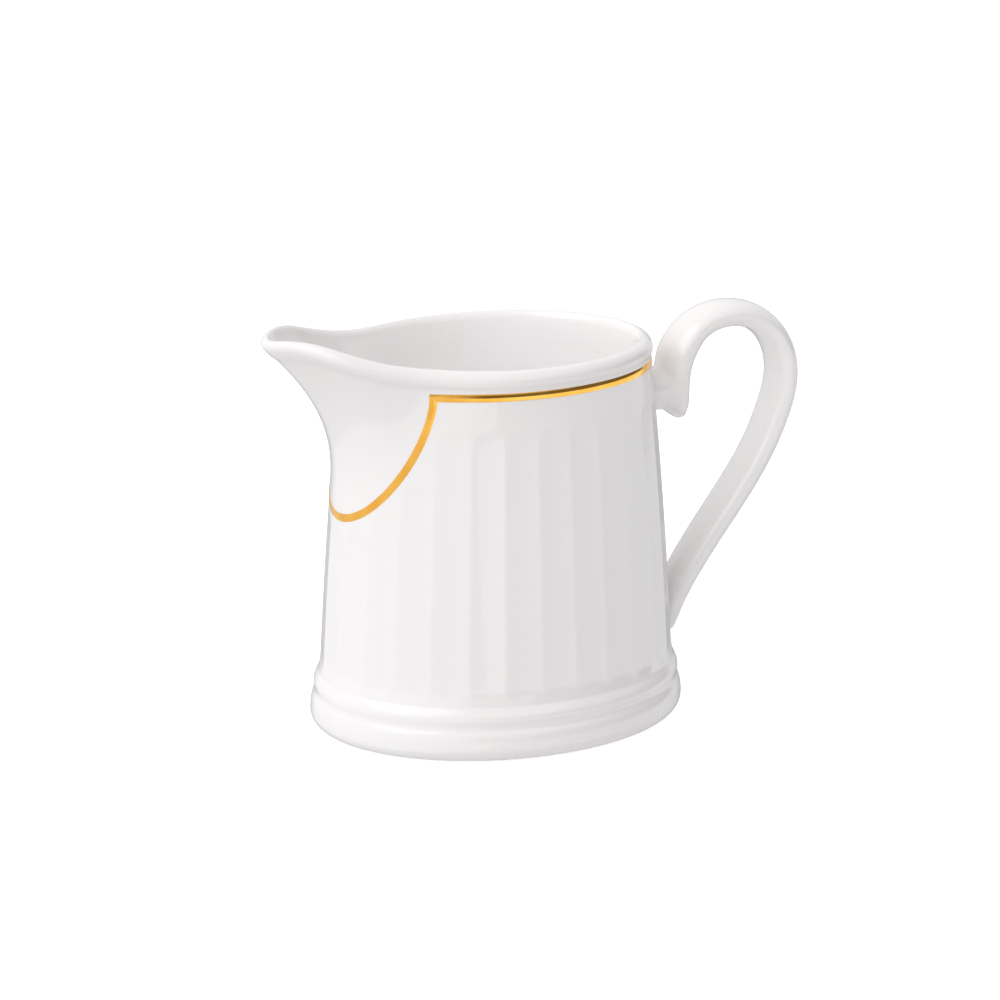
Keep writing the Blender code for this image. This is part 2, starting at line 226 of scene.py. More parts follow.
class StageSettings(bpy.types.PropertyGroup):
    """Floor, light and camera."""

    floor_radius: length("Floor", "Radius of the floor", 6.0)
    room: number("Room light", "Brightness of the white room", 0.9)
    dim: number("Dim wall", "Brightness straight behind the jug", 0.5)
    front: number("Front", "Brightness high up behind the camera", 0.8)
    band: number("Dark band", "Brightness just above the horizon on the camera's side", 0.17)
    bounce: number("Bounce", "Brightness just below the horizon on the camera's side", 1.2)
    fill: number("Inside fill", "Strength in watts of the small soft light in the jug's mouth", 0.0066)
    fill_radius: length("Inside fill radius", "Size of that light", 12 * MM)
    fill_place: FloatVectorProperty(
        name="Inside fill place",
        description="Where that light hangs",
        default=(BODY_HIGH.x - FOOT_REACH + 1 * MM, -3 * MM, 76 * MM),
        subtype="TRANSLATION",
    )
    key: number("Key light", "Strength of the soft light from the upper left", 1.0)
    key_spread: angle("Key spread", "How soft that light is", 60)
    key_azimuth: angle("Key direction", "Where it comes from, round from -Y towards -X", 70)
    key_elevation: angle("Key elevation", "How high it stands", 42)
    lens: number("Lens", "Focal length in millimetres on a 36 mm sensor", 146.4)
    distance: length("Distance", "From the camera to the jug", 0.9352)
    azimuth: angle("Azimuth", "How far the camera stands round from -Y towards -X", 25)
    elevation: angle("Elevation", "How high the camera stands", 16.4)
    target: FloatVectorProperty(
        name="Target",
        description="Point that the camera looks at",
        default=(BODY_HIGH.x - FOOT_REACH + 0.73 * MM, -0.34 * MM, 50.78 * MM),
        subtype="TRANSLATION",
    )


SETTINGS = {
    "jug_body_sizes": JugBodySizes,
    "jug_spout_sizes": SpoutSizes,
    "jug_flute_sizes": FluteSizes,
    "jug_handle_sizes": HandleSizes,
    "jug_gold_sizes": GoldSizes,
    "jug_colours": JugColours,
    "jug_stage": StageSettings,
}


class Jug:
    """All the settings in one place, and the formula of the wall that every piece follows."""

    def __init__(self, scene):
        self.body = scene.jug_body_sizes
        self.spout = scene.jug_spout_sizes
        self.flutes = scene.jug_flute_sizes
        self.handle = scene.jug_handle_sizes
        self.gold = scene.jug_gold_sizes
        self.colours = scene.jug_colours
        self.oval_shares = even_shares(self.body.oval_ratio)
        self.arch_heights = {}

    def wall_reach(self, z):
        """Half-length of the outer wall along X at this height."""
        rise = max(z - self.body.foot_top, 0.0)
        return self.body.foot_top_reach - (self.body.wall_taper + self.body.wall_bow * rise) * rise

    def flatness(self, reach, z):
        """Half-width over half-length, so that the wall is as thick at the sides as at the ends."""
        share = max(reach / self.wall_reach(z), self.body.least_share)
        return 1.0 - (1.0 - self.body.oval_ratio) / share

    def pull_share(self, z, start):
        """How far a height is on the way from the start to the spout's top, levelling off there."""
        blend = self.spout.blend
        below = blend * math.log1p(math.exp((self.spout.top - z) / blend))
        return max((self.spout.top - below - start) / (self.spout.top - start), 0.0)

    def point(self, reach, turn, z):
        """A point of the body. The turn is 0 at the spout and pi at the handle."""
        spout = self.spout
        away = abs(math.remainder(turn, FULL_TURN))
        rise = self.pull_share(z, spout.start)
        spread = spout.angle_low + (spout.angle_rim - spout.angle_low) * rise
        pull, lift = spout_outline(away * spout.angle_rim / spread)
        lift_share = self.pull_share(z, spout.lift_start) ** spout.lift_power
        reach = self.thinned(reach, away, z)
        x = -reach * math.cos(turn) - spout.reach * rise**spout.power * pull
        y = -reach * self.flatness(reach, z) * math.sin(turn)
        return Vector((self.body.axis_x + x, y, z + spout.lift * lift * lift_share))

    def thinned(self, reach, away, z):
        """Moves the inside of the wall outwards near the spout's tip."""
        spout = self.spout
        outer = self.wall_reach(z)
        near_top = min(max((z - spout.thin_start) / (self.body.neck_height - spout.thin_start), 0.0), 1.0)
        thinning = spout.thinning * near_top**2 * math.exp(-((away / spout.thin_angle) ** 2))
        return reach + max(outer - reach, 0.0) * thinning

    def level_height(self, turn, height):
        """The height to ask of the wall so that, lifted, it comes out at this one."""
        z = height
        for _ in range(3):
            z -= self.point(self.wall_reach(z), turn, z).z - height
        return z

    def wall_normal(self, turn, z):
        """Outwards from the outer wall, found from two small steps along it."""
        turn_step = 0.01
        rise_step = 0.2 * MM
        here = self.point(self.wall_reach(z), turn, z)
        along = self.point(self.wall_reach(z), turn + turn_step, z) - here
        up = self.point(self.wall_reach(z + rise_step), turn, z + rise_step) - here
        return along.cross(up).normalized()

    def wall_point(self, turn, z, gap=0.0):
        """A point this far outside the outer wall."""
        return self.point(self.wall_reach(z), turn, z) + gap * self.wall_normal(turn, z)

    def turn_at(self, share):
        """The oval's turn at this share of the way round it from the spout."""
        shares = self.oval_shares
        steps = len(shares) - 1
        low = min(bisect_right(shares, abs(share)) - 1, steps - 1)
        part = (abs(share) - shares[low]) / (shares[low + 1] - shares[low])
        return math.copysign((low + part) * FULL_TURN / steps, share)

    def bib_height(self, turn):
        """Height of the spout's gold line, or of the level line beyond its corners."""
        swing = min(abs(turn) / self.gold.bib_angle, 1.0)
        drop = (1.0 - swing * swing) ** (0.5 * self.gold.bib_power)
        return self.body.neck_height - (self.body.neck_height - self.gold.bib_low) * drop

    def bib_clearance(self, share, z):
        """Distance along the wall from a point under the gold lines to the spout's line."""
        steps = 48
        round_length = self.round_length(z)
        best = self.bib_height(self.turn_at(share)) - z
        if best <= 0.0:
            return best
        for i in range(steps + 1):
            other = SIDE_SHARE * (2.0 * i / steps - 1.0)
            turn = self.turn_at(other)
            if abs(turn) <= self.gold.bib_angle:
                across = (share - other) * round_length
                best = min(best, math.hypot(across, self.bib_height(turn) - z))
        return best

    def round_length(self, z):
        """Length of the way round the outer wall."""
        mean_square = 0.5 * (1.0 + self.body.oval_ratio**2)
        return FULL_TURN * self.wall_reach(z) * math.sqrt(mean_square)

    def arch_height(self, index):
        """Where a flute's upper arch starts: under the neck, or lower, under the spout's line."""
        index = abs(index)
        if index not in self.arch_heights:
            height = self.flutes.high
            step = 0.25 * MM
            while height > self.flutes.low and not self.arch_fits(index, height):
                height -= step
            self.arch_heights[index] = height
        return self.arch_heights[index]

    def arch_fits(self, index, height):
        """Whether an upper arch that starts here keeps its room to the spout's line."""
        half = 4
        for i in range(-half, half + 1):
            side = i / half
            share = (index + 0.5 * side) / self.flutes.number
            if share > SIDE_SHARE:
                continue
            top = height + self.flutes.arch * math.sqrt(1.0 - side * side)
            if self.bib_clearance(share, top) < self.flutes.bib_margin:
                return False
        return True

    def flute_depth(self, position, z):
        """Depth of the flutes. The position counts flutes round from the middle of the spout."""
        index = round(position)
        side = 2.0 * (position - index)
        above = max(z - self.arch_height(index), self.flutes.low - z, 0.0) / self.flutes.arch
        out = math.hypot(side, above) / self.flutes.hollow
        return self.flutes.depth * max(1.0 - out * out, 0.0)


def spout_outline(away):
    """Share of the forward pull, and the lift, this far round from the spout's middle at the rim."""
    place = min(math.degrees(away) / SPOUT_STEP, len(SPOUT_OUTLINE) - 1.001)
    low = int(place)
    table = (*SPOUT_OUTLINE, (0.0, 0.0))
    rows = [table[min(abs(i), len(SPOUT_OUTLINE))] for i in range(low - 1, low + 3)]
    pull, lift = curve_point(*rows, place - low)
    return pull, lift * MM


def even_shares(ratio):
    """Share of the way round an oval at each of many even turns."""
    steps = 720
    shares = [0.0]
    for i in range(steps):
        turn = FULL_TURN * (i + 0.5) / steps
        shares.append(shares[-1] + math.hypot(math.sin(turn), ratio * math.cos(turn)))
    return [share / shares[-1] for share in shares]


def arc(centre, radius, first, last, steps):
    """Points of an arc, both ends included, with angles in degrees from +X."""
    points = []
    for i in range(steps + 1):
        turn = math.radians(first + (last - first) * i / steps)
        points.append((centre[0] + radius * math.cos(turn), centre[1] + radius * math.sin(turn)))
    return points


def smooth_line(points, steps):
    """A smooth curve through the points, with this many steps from each to the next."""
    ends = [points[0], *points, points[-1]]
    line = []
    for before, here, there, after in zip(ends, ends[1:], ends[2:], ends[3:]):
        for i in range(steps):
            line.append(curve_point(before, here, there, after, i / steps))
    line.append(points[-1])
    return line


def curve_point(before, here, there, after, t):
    """One point of a curve that passes through its middle two points."""
    found = []
    for a, b, c, d in zip(before, here, there, after):
        rate = c - a + (2 * a - 5 * b + 4 * c - d + (3 * (b - c) + d - a) * t) * t
        found.append(b + 0.5 * rate * t)
    return tuple(found)


def in_metres(points):
    return [tuple(value * MM for value in point) for point in points]


def even_levels(first, last, step):
    """Levels from first up or down to last, as near to this step as they divide."""
    parts = max(round(abs(last - first) / step), 1)
    return [first + (last - first) * i / parts for i in range(parts + 1)]


# Meshes and objects


def sweep(mesh, rings, closed=False):
    """A skin over rings of points: the first ring is drawn and each next one extruded from it."""
    verts = [mesh.verts.new(point) for point in rings[0]]
    edges = [mesh.edges.new((verts[i - 1], verts[i])) for i in range(len(verts))]
    first_edges = list(edges)
    for ring in rings[1:]:
        made = bmesh.ops.extrude_edge_only(mesh, edges=edges)["geom"]
        fresh = {item for item in made if isinstance(item, bmesh.types.BMVert)}
        edges = [e for e in made if isinstance(e, bmesh.types.BMEdge) and set(e.verts) <= fresh]
        verts = [next(e.other_vert(v) for e in v.link_edges if e.other_vert(v) in fresh) for v in verts]
        for vert, point in zip(verts, ring):
            vert.co = point
    if closed:
        bmesh.ops.bridge_loops(mesh, edges=first_edges + edges)
    else:
        bmesh.ops.holes_fill(mesh, edges=first_edges + edges, sides=len(rings[0]))


def face_outwards(mesh):
    mesh.normal_update()
    bmesh.ops.recalc_face_normals(mesh, faces=mesh.faces)


def add_piece(mesh, name, materials, sharp_degrees):
    """An object of a mesh that lies where it belongs, smooth except at edges sharper than this."""
    data = bpy.data.meshes.new(name)
    mesh.to_mesh(data)
    mesh.free()
    for material in materials:
        data.materials.append(material)
    data.shade_smooth()
    data.set_sharp_from_angle(angle=math.radians(sharp_degrees))
    piece = bpy.data.objects.new(name, data)
    bpy.context.scene.collection.objects.link(piece)
    return piece


def stand_in(piece, slot, *nodes):
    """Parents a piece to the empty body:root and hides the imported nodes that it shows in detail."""
    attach(piece, "root")
    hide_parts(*nodes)


# Body


def body_profile(jug):
    """From under the floor, round the foot, up the wall, over the lip and down inside."""
    body = jug.body
    coarse, medium, fine, inner = 2.2 * MM, 1.1 * MM, 0.75 * MM, 3.0 * MM
    above_foot, below_bib, above_flutes, below_neck = 2.4 * MM, 6 * MM, 5 * MM, 0.4 * MM
    below_lip = 1.4 * MM
    points = [(0.0, body.recess_height), (0.5 * body.foot_top_reach, body.recess_height)]
    points += smooth_line(in_metres(UNDERSIDE), 2)
    roll_reach = FOOT_REACH - body.roll_radius
    points += arc((roll_reach, body.roll_radius), body.roll_radius, -90, 0, 9)[:-1]
    points += smooth_line(in_metres(FOOT_MOULDINGS), 3)
    wall_levels = even_levels(body.foot_top + above_foot, jug.gold.bib_low - below_bib, coarse)
    wall_levels += even_levels(wall_levels[-1], jug.flutes.high + above_flutes, fine)[1:]
    wall_levels += even_levels(wall_levels[-1], body.neck_height - below_neck, medium)[1:]
    points += [(jug.wall_reach(z), z) for z in wall_levels]
    points += smooth_line(in_metres(UNDER_LIP), 2)
    lip = (body.lip_reach, body.lip_height)
    points += arc(lip, body.lip_radius, -8, 90, 12)
    for reach, z in arc(lip, body.lip_radius, 90, 180, 9)[1:]:
        points.append((lip[0] + (reach - lip[0]) * body.lip_inner_share, z))
    points += [(lip[0] - body.lip_radius * body.lip_inner_share, body.lip_height - below_lip)]
    inner_levels = even_levels(body.neck_height, body.floor_height + 2 * body.floor_fillet, inner)
    points += [(jug.wall_reach(z) - body.wall_thickness, z) for z in inner_levels]
    corner = jug.wall_reach(body.foot_top) - body.wall_thickness - body.floor_fillet
    centre = (corner, body.floor_height + body.floor_fillet)
    points += arc(centre, body.floor_fillet, 0, -90, 8)
    points += [(0.5 * corner, body.floor_height), (0.0, body.floor_height)]
    return points


def spin_profile(profile, steps):
    """A mesh of the profile turned about the upright axis."""
    seam = 0.005 * MM
    mesh = bmesh.new()
    verts = [mesh.verts.new((-reach, 0.0, z)) for reach, z in profile]
    edges = [mesh.edges.new(pair) for pair in zip(verts, verts[1:])]
    turning = {"cent": (0, 0, 0), "axis": (0, 0, 1), "angle": FULL_TURN, "steps": steps}
    bmesh.ops.spin(mesh, geom=verts + edges, use_merge=True, **turning)
    bmesh.ops.remove_doubles(mesh, verts=mesh.verts, dist=seam)
    face_outwards(mesh)
    return mesh


def crowded(position, crowding):
    """Moves a place among the flutes nearer to the next ridge, so that ridges stay crisp."""
    index = round(position)
    side = position - index
    return index + side + crowding * math.sin(FULL_TURN * side) / FULL_TURN


def shape_body(mesh, jug):
    """Moves each turned point to its place on the fluted oval body with its spout."""
    flutes = jug.flutes
    at_axis = MM
    at_wall = 0.3 * MM
    pool = mesh.verts.layers.float.new("glaze_pool")
    for vert in mesh.verts:
        reach = math.hypot(vert.co.x, vert.co.y)
        vert.co.z = max(vert.co.z, 0.0)
        if reach < at_axis:
            vert.co = jug.point(0.0, 0.0, vert.co.z)
            continue
        z = vert.co.z
        position = math.atan2(-vert.co.y, -vert.co.x) / FULL_TURN * flutes.number
        position = crowded(position, flutes.crowding)
        turn = jug.turn_at(position / flutes.number)
        depth = 0.0
        if reach > jug.wall_reach(z) - at_wall:
            depth = jug.flute_depth(position, z)
        vert.co = jug.point(reach, turn, z)
        if depth > 0.0:
            vert.co -= depth * jug.wall_normal(turn, z)
            vert[pool] = depth / flutes.depth
    mesh.normal_update()


def bare_the_ring(mesh):
    """Gives the foot ring's flat and its edges the second material, the bare clay."""
    height = 0.12 * MM
    for face in mesh.faces:
        if face.calc_center_median().z < height:
            face.material_index = 1


class JUG_OT_body(bpy.types.Operator):
    """Build the fluted body with its foot, lip and spout"""

    bl_idname = "jug.body"
    bl_label = "Body"

    def execute(self, context):
        jug = Jug(context.scene)
        mesh = spin_profile(body_profile(jug), steps=jug.body.round_steps * jug.flutes.number)
        shape_body(mesh, jug)
        bare_the_ring(mesh)
        materials = [glazed_porcelain(jug.colours), bare_biscuit(jug.colours)]
        piece = add_piece(mesh, "fluted_body", materials, sharp_degrees=50)
        stand_in(piece, "glazed_porcelain", "jug_body")
        return {"FINISHED"}


# Handle


def strap_stations(route):
    """Middle, direction and size at many places along the strap, with rounded ends."""
    line = smooth_line(route, 5)
    stations = []
    for i, (reach, height, size) in enumerate(line):
        before = line[max(i - 1, 0)]
        after = line[min(i + 1, len(line) - 1)]
        direction = Vector((after[0] - before[0], 0.0, after[1] - before[1])).normalized()
        stations.append((Vector((reach * MM, 0.0, height * MM)), direction, size))
    return rounded_end(stations[0], -1)[::-1] + stations + rounded_end(stations[-1], 1)


def rounded_end(station, way):
    """Stations that close a strap's end with a dome."""
    middle, direction, size = station
    dome = 1.1 * MM
    dome_degrees = (30, 55, 75)
    added = []
    for degrees in dome_degrees:
        turn = math.radians(degrees)
        added.append((middle + way * dome * math.sin(turn) * direction, direction, size * math.cos(turn)))
    return added


def oval_ring(middle, first, second, steps, power=1.0):
    """Points round an oval with these two half-axes, squarer where the power is below 1."""
    ring = []
    for i in range(steps):
        turn = FULL_TURN * i / steps
        along, across = math.cos(turn), math.sin(turn)
        along = math.copysign(abs(along) ** power, along)
        across = math.copysign(abs(across) ** power, across)
        ring.append(middle + along * first + across * second)
    return ring


def strap_ring(station, jug):
    """The strap's section at a station: an oval, a little squared."""
    handle = jug.handle
    middle, direction, size = station
    middle = middle + Vector((jug.body.axis_x, 0.0, 0.0))
    thick = 0.5 * handle.thickness * size * direction.cross(Vector((0.0, 1.0, 0.0)))
    wide = Vector((0.0, 0.5 * handle.width * size, 0.0))
    return oval_ring(middle, thick, wide, steps=32, power=2.0 / handle.squareness)


def root_waist(handle, share):
    """How much of its full section the bar keeps at this share of its length."""
    return 1.0 - (1.0 - handle.root_waist) * math.sin(math.pi * share) ** 2


def root_rings(jug):
    """The level bar between wall and strap, with a waist, as rings across X."""
    handle = jug.handle
    start = jug.wall_reach(handle.root_height) - handle.buried
    steps = 12
    rings = []
    for i in range(steps + 1):
        share = i / steps
        half = 0.5 * root_waist(handle, share)
        along = jug.body.axis_x + start + (handle.root_end - start) * share
        wide = Vector((0.0, half * handle.root_wide, 0.0))
        tall = Vector((0.0, 0.0, half * handle.root_tall))
        rings.append(oval_ring(Vector((along, 0.0, handle.root_height)), wide, tall, steps=36))
    return rings


def remeshed(mesh, grain):
    """One closed skin over the shapes in a mesh, as an even net of small faces."""
    data = bpy.data.meshes.new("rough")
    mesh.to_mesh(data)
    mesh.free()
    rough = bpy.data.objects.new("rough", data)
    bpy.context.scene.collection.objects.link(rough)
    modifier = rough.modifiers.new("one_skin", "REMESH")
    modifier.mode = "VOXEL"
    modifier.voxel_size = grain
    bpy.context.view_layer.update()
    built = rough.evaluated_get(bpy.context.evaluated_depsgraph_get())
    joined = bpy.data.meshes.new_from_object(built)
    skin = bmesh.new()
    skin.from_mesh(joined)
    bpy.data.objects.remove(rough)
    bpy.data.meshes.remove(data)
    bpy.data.meshes.remove(joined)
    return skin


def soften(mesh, verts, rounds):
    """Moves each point halfway to the middle of its neighbours, this many times."""
    ways = {"use_axis_x": True, "use_axis_y": True, "use_axis_z": True}
    for _ in range(rounds):
        bmesh.ops.smooth_vert(mesh, verts=verts, factor=0.5, **ways)


def handle_mesh(jug):
    """Strap and upper root joined into one soft shape."""
    handle = jug.handle
    mesh = bmesh.new()
    sweep(mesh, [strap_ring(station, jug) for station in strap_stations(STRAP_ROUTE)])
    sweep(mesh, root_rings(jug))
    face_outwards(mesh)
    skin = remeshed(mesh, handle.grain)
    soften(skin, skin.verts, handle.softening)
    outer = jug.body.axis_x + handle.root_end
    reach_share = 0.72
    reach = reach_share * handle.root_tall
    near_root = [v for v in skin.verts if v.co.x < outer and abs(v.co.z - handle.root_height) < reach]
    soften(skin, near_root, handle.root_softening)
    face_outwards(skin)
    return skin


class JUG_OT_handle(bpy.types.Operator):
    """Build the strap handle with its spur and upper root"""

    bl_idname = "jug.handle"
    bl_label = "Handle"

    def execute(self, context):
        jug = Jug(context.scene)
        materials = [glazed_porcelain(jug.colours)]
        piece = add_piece(handle_mesh(jug), "strap_handle", materials, sharp_degrees=80)
        stand_in(piece, "glazed_porcelain", "handle")
        return {"FINISHED"}


# Slip joints


def back_wall(jug, y, z, gap):
    """The wall's point at this width and height on the handle's side, moved out by the gap."""
    reach = jug.wall_reach(z)
    turn = math.pi - math.asin(max(min(y / (jug.body.oval_ratio * reach), 1.0), -1.0))
    position = jug.flutes.number * share_of_turn(jug, turn)
    depth = jug.flute_depth(position, z)
    x = jug.body.axis_x - reach * math.cos(turn) - depth + gap
    return Vector((x, y, z))


def share_of_turn(jug, turn):
    """Share of the way round the oval at this turn."""
    steps = len(jug.oval_shares) - 1
    place = turn / FULL_TURN * steps
    low = min(int(place), steps - 1)
    return jug.oval_shares[low] + (place - low) * (jug.oval_shares[low + 1] - jug.oval_shares[low])


def inside_strap(point, stations, jug):
    """Below 1 inside the strap: the point's place in the section of the nearest station."""
    handle = jug.handle
    station_reach, slack = 0.4 * MM, 0.9
    flat = Vector((point.x - jug.body.axis_x, 0.0, point.z))
    middle, direction, size = min(stations, key=lambda station: (station[0] - flat).length_squared)
    outwards = direction.cross(Vector((0.0, 1.0, 0.0)))
    thick = abs((flat - middle).dot(outwards)) / (0.5 * handle.thickness * size)
    wide = abs(point.y) / (0.5 * handle.width * size)
    along = abs((flat - middle).dot(direction)) / station_reach
    return thick**handle.squareness + wide**handle.squareness + max(along - slack, 0.0)


def inside_root(point, jug):
    """Below 1 inside the bar between wall and strap."""
    handle = jug.handle
    start = jug.body.axis_x + jug.wall_reach(handle.root_height) - handle.buried
    share = (point.x - start) / (jug.body.axis_x + handle.root_end - start)
    waist = root_waist(handle, min(max(share, 0.0), 1.0))
    wide = point.y / (0.5 * handle.root_wide * waist)
    tall = (point.z - handle.root_height) / (0.5 * handle.root_tall * waist)
    return wide * wide + tall * tall


def edge_distance(jug, inside, centre_z, turn, gap):
    """How far from the joint's middle the solid ends, in this direction along the wall."""
    low, high = 0.0, 20 * MM
    halvings = 24
    for _ in range(halvings):
        middle = 0.5 * (low + high)
        at = back_wall(jug, middle * math.sin(turn), centre_z + middle * math.cos(turn), gap)
        if inside(at) < 1.0:
            low = middle
        else:
            high = middle
    return low


def edge_distances(jug, inside, centre_z, gap, count):
    """The same all round the joint, evened out."""
    found = [edge_distance(jug, inside, centre_z, FULL_TURN * i / count, gap) for i in range(count)]
    rounds = 6
    for _ in range(rounds):
        found = [0.25 * found[i - 1] + 0.5 * found[i] + 0.25 * found[(i + 1) % count] for i in range(count)]
    return found


def fillet_section(jug, corner, raised, centre_z, turn, size):
    """The fillet's section in one direction: a hollow curve from the handle down to the wall."""
    sunk = 0.04 * MM
    sunk_in_handle = 0.14 * MM
    buried = -0.7 * MM
    inset = 0.8 * MM
    least_low, least_high = 0.3 * MM, 0.2 * MM

    def at(distance, gap):
        return back_wall(jug, distance * math.sin(turn), centre_z + distance * math.cos(turn), gap)

    start = at(raised - sunk_in_handle, size)
    knee = at(corner, 0.0)
    end = at(corner + max(size, raised - corner), -sunk)
    section = []
    steps = 7
    for i in range(steps + 1):
        t = i / steps
        section.append((1 - t) ** 2 * start + 2 * t * (1 - t) * knee + t * t * end)
    section.append(at(corner + 0.5 * size, buried))
    section.append(at(max(corner - inset, least_low), buried))
    section.append(at(max(min(corner, raised) - inset, least_high), 0.6 * size))
    return section


def fillet_mesh(jug, inside, centre_z, size):
    """A ring of slip all round a joint."""
    steps = 96
    corners = edge_distances(jug, inside, centre_z, 0.0, steps)
    raised = edge_distances(jug, inside, centre_z, size, steps)
    sections = []
    for i in range(steps):
        turn = FULL_TURN * i / steps
        sections.append(fillet_section(jug, corners[i], raised[i], centre_z, turn, size))
    mesh = bmesh.new()
    sweep(mesh, sections, closed=True)
    face_outwards(mesh)
    return mesh


class JUG_OT_slip_joints(bpy.types.Operator):
    """Build the fillets of slip where the handle meets the wall"""

    bl_idname = "jug.slip_joints"
    bl_label = "Slip joints"

    def execute(self, context):
        jug = Jug(context.scene)
        handle = jug.handle
        tail_rows = 7
        stations = strap_stations(STRAP_ROUTE[-tail_rows:])

        def in_root(point):
            return inside_root(point, jug)

        def in_strap(point):
            return inside_strap(point, stations, jug)

        joints = (
            ("upper_slip_fillet", "handle_upper_slip_joint", handle.root_height, in_root),
            ("lower_slip_fillet", "handle_lower_slip_joint", handle.tail_height, in_strap),
        )
        materials = [glazed_porcelain(jug.colours)]
        for name, node, centre_z, inside in joints:
            mesh = fillet_mesh(jug, inside, centre_z, handle.slip_fillet)
            piece = add_piece(mesh, name, materials, sharp_degrees=80)
            stand_in(piece, "joining_slip", node)
        return {"FINISHED"}


# Gold lines


def line_rings(jug, middles):
    """Sections of a crowned line along places on the wall, each given as turn and height."""
    gold = jug.gold
    across_steps = 8
    rings = []
    last = len(middles) - 1
    for i, (turn, z) in enumerate(middles):
        here = jug.wall_point(turn, z)
        before = jug.wall_point(*middles[max(i - 1, 0)])
        after = jug.wall_point(*middles[min(i + 1, last)])
        out = jug.wall_normal(turn, z)
        across = out.cross((after - before).normalized())
        ring = []
        for j in range(across_steps + 1):
            side = 2.0 * j / across_steps - 1.0
            lift = gold.edge + gold.crown * (1.0 - side * side)
            ring.append(here + 0.5 * gold.width * side * across + lift * out)
        ring.append(here + 0.5 * gold.width * across - gold.root * out)
        ring.append(here - 0.5 * gold.width * across - gold.root * out)
        rings.append(ring)
    return rings


def rim_places(jug):
    """The level line, from the outer edge of the spout's line past the handle to the other side."""
    gold = jug.gold
    overlap = 0.4 * gold.width
    first = gold.bib_angle - overlap / jug.wall_reach(jug.body.neck_height)
    sweep_angle = FULL_TURN - 2 * first
    places = []
    for i in range(gold.steps + 1):
        turn = first + sweep_angle * i / gold.steps
        places.append((turn, jug.level_height(turn, jug.body.neck_height)))
    return places


def bib_places(jug):
    """The line under the spout, from corner to corner, with more places near the corners."""
    gold = jug.gold
    level_power = 4  # how late the line starts to follow the spout's lift, towards its corners
    places = []
    for i in range(gold.steps + 1):
        swing = math.sin(math.pi * (i / gold.steps - 0.5))
        turn = gold.bib_angle * swing
        height = jug.bib_height(turn)
        share = (height - gold.bib_low) / (jug.body.neck_height - gold.bib_low)
        level = jug.level_height(turn, height)
        places.append((turn, height + (level - height) * share**level_power))
    return places


class JUG_OT_gold_lines(bpy.types.Operator):
    """Build the level gold line and the one that hangs under the spout"""

    bl_idname = "jug.gold_lines"
    bl_label = "Gold lines"

    def execute(self, context):
        jug = Jug(context.scene)
        lines = (
            ("level_gold_line", "rim_gold_line", rim_places(jug)),
            ("hanging_gold_line", "spout_gold_line", bib_places(jug)),
        )
        materials = [fired_gold(jug.colours)]
        for name, node, places in lines:
            mesh = bmesh.new()
            sweep(mesh, line_rings(jug, places))
            face_outwards(mesh)
            piece = add_piece(mesh, name, materials, sharp_degrees=40)
            stand_in(piece, "fired_gold", node)
        return {"FINISHED"}


# Finishes


class Nodes:
    """Short calls to add and join the nodes of a tree."""

    def __init__(self, tree):
        self.tree = tree

    def put(self, socket, value):
        """Joins the output of a node to a socket, or sets the socket to a value or a colour."""
        if isinstance(value, bpy.types.NodeSocket):
            self.tree.links.new(value, socket)
        elif socket.type == "RGBA":
            socket.default_value = (*value[:3], 1.0)
        else:
            socket.default_value = value

    def add(self, kind, inputs=None, **settings):
        node = self.tree.nodes.new(kind)
        for name, value in settings.items():
            setattr(node, name, value)
        for name, value in (inputs or {}).items():
            self.put(node.inputs[name], value)
        return node

    def ramp(self, value, low, high, to_low=0.0, to_high=1.0, **settings):
        inputs = {"Value": value, "From Min": low, "From Max": high, "To Min": to_low, "To Max": to_high}
        return self.add("ShaderNodeMapRange", inputs, **settings).outputs["Result"]


class Finish(Nodes):
    """A material under construction."""

    def __init__(self, name):
        self.material = bpy.data.materials.new(name)
        self.material.use_nodes = True
        super().__init__(self.material.node_tree)
        self.place = self.add("ShaderNodeTexCoord").outputs["Object"]

    def noise(self, scale, detail=3.0, roughness=0.5, place=None):
        inputs = {"Vector": place or self.place, "Scale": scale, "Detail": detail, "Roughness": roughness}
        return self.add("ShaderNodeTexNoise", inputs).outputs["Fac"]

    def stretched(self, scale):
        """The object's coordinates, drawn out along the axes whose scale is small."""
        return self.add("ShaderNodeMapping", {"Vector": self.place, "Scale": scale}).outputs["Vector"]

    def grey(self, value, darkest, low=0.35, high=0.65):
        """A grey from a little dark up to white."""
        return self.blend(self.ramp(value, low, high), (darkest,) * 3, (1.0, 1.0, 1.0))

    def multiply(self, first, second):
        product = self.add("ShaderNodeVectorMath", {0: first, 1: second}, operation="MULTIPLY")
        return product.outputs["Vector"]

    def blend(self, share, first, second):
        """A colour between two others, each a colour or the output of a node."""
        node = self.add("ShaderNodeMix", data_type="RGBA")
        sockets = {s.identifier: s for s in (*node.inputs, *node.outputs)}
        for key, value in (("Factor_Float", share), ("A_Color", first), ("B_Color", second)):
            self.put(sockets[key], value)
        return sockets["Result_Color"]

    def bump(self, height, strength, distance, under=None):
        inputs = {"Height": height, "Strength": strength, "Distance": distance}
        if under is not None:
            inputs["Normal"] = under
        return self.add("ShaderNodeBump", inputs).outputs["Normal"]

    def set(self, **values):
        """Sets or joins the shader's own sockets."""
        shader = self.tree.nodes["Principled BSDF"]
        for name, value in values.items():
            self.put(shader.inputs[name.replace("_", " ")], value)


def once(name):
    """Turns the steps of a finish into a call that gives its material, made the first time only."""

    def with_steps(steps):
        def finished(colours):
            if name not in bpy.data.materials:
                steps(Finish(name), colours)
            return bpy.data.materials[name]

        return finished

    return with_steps


